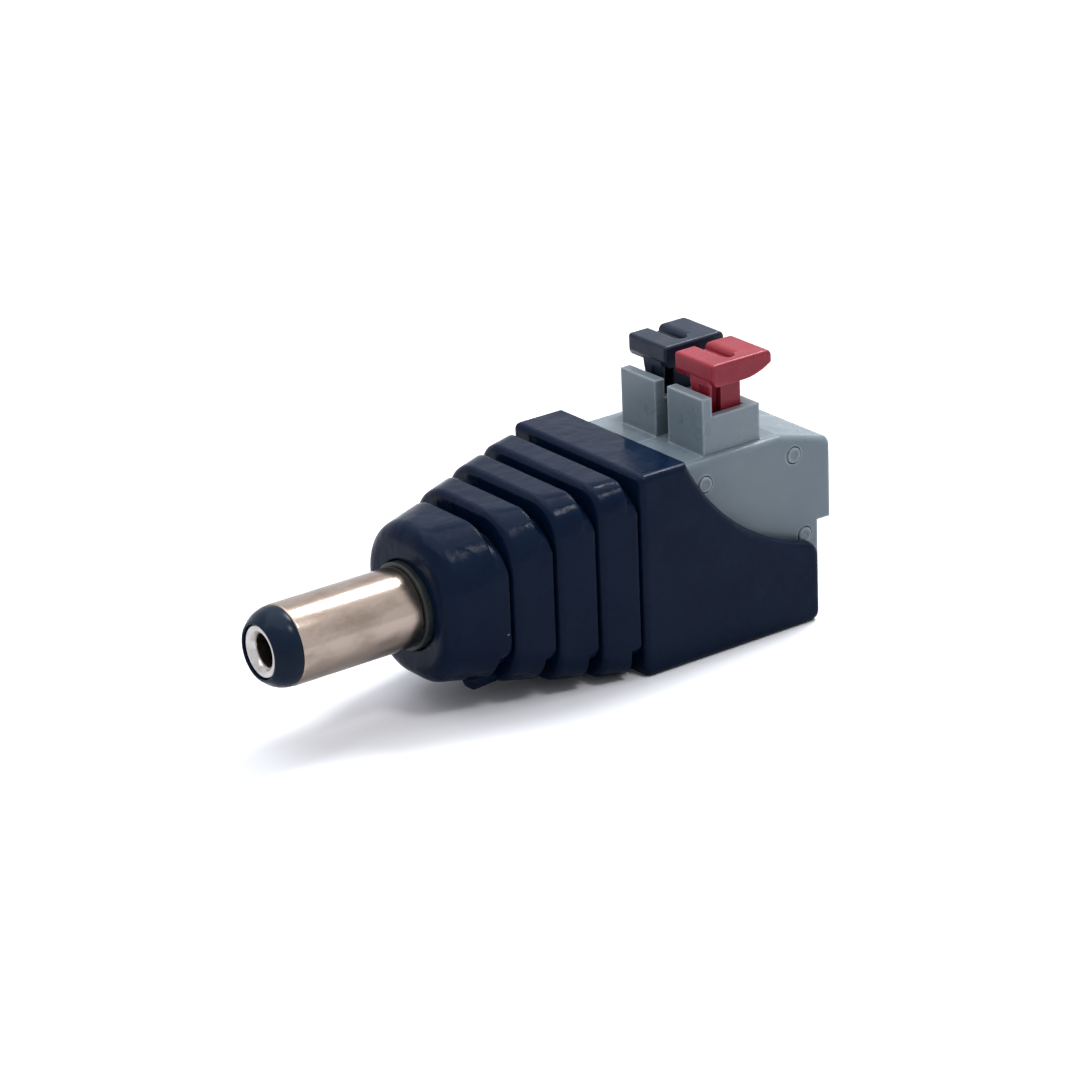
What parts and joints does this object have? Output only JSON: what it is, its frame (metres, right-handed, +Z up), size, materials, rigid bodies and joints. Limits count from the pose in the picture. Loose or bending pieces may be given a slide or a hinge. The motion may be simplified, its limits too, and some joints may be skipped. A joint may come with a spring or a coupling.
{
  "type": "dc barrel plug",
  "caption": "Barrel power plug in a ribbed boot, with a two-pole push-button wire clamp block at its rear.",
  "frame": {"origin": "on the barrel's axis, where the plated sleeve comes out of its collar", "axes": "+X along the barrel towards the wire entries, +Z up towards the buttons, -Y on the red button's side"},
  "size_m": [0.0426, 0.014, 0.0195],
  "materials": {
    "black_moulding": "satin, moulded",
    "nickel_plate": "polished nickel plate, faint handling marks",
    "black_tip": "smooth moulded",
    "contact_silver": "bright plate",
    "black_collar": "smooth moulded",
    "washer_board": "pressed board",
    "tinned_brass": "tin plated",
    "tinned_copper": "tin plated",
    "grey_nylon": "fine moulded texture",
    "red_plastic": "satin moulded",
    "black_plastic": "satin moulded",
    "spring_steel": "bright strip"
  },
  "bodies": {
    "body": {"shell": "black_moulding", "barrel_sleeve": "nickel_plate", "tip_insulator": "black_tip", "centre_contact": "contact_silver", "rear_collar": "black_collar", "insulating_washer": "washer_board", "sleeve_tag": "tinned_brass", "centre_tag": "tinned_brass", "positive_link": "tinned_copper", "negative_link": "tinned_copper", "near_housing": "grey_nylon", "far_housing": "grey_nylon", "side_cover": "grey_nylon", "red_contact_bar": "tinned_brass", "black_contact_bar": "tinned_brass", "red_clamp_spring": "spring_steel", "black_clamp_spring": "spring_steel"},
    "red_button": {"red_button": "red_plastic"},
    "black_button": {"black_button": "black_plastic"}
  },
  "joints": [
    {"name": "red_press", "type": "slide", "parent": "body", "child": "red_button", "axis": [0, 0, -1], "range_m": [0, 0.0017], "stiffness_N_per_m": 1000, "deforming": ["red_clamp_spring"]},
    {"name": "black_press", "type": "slide", "parent": "body", "child": "black_button", "axis": [0, 0, -1], "range_m": [0, 0.0017], "stiffness_N_per_m": 1000, "deforming": ["black_clamp_spring"]}
  ]
}
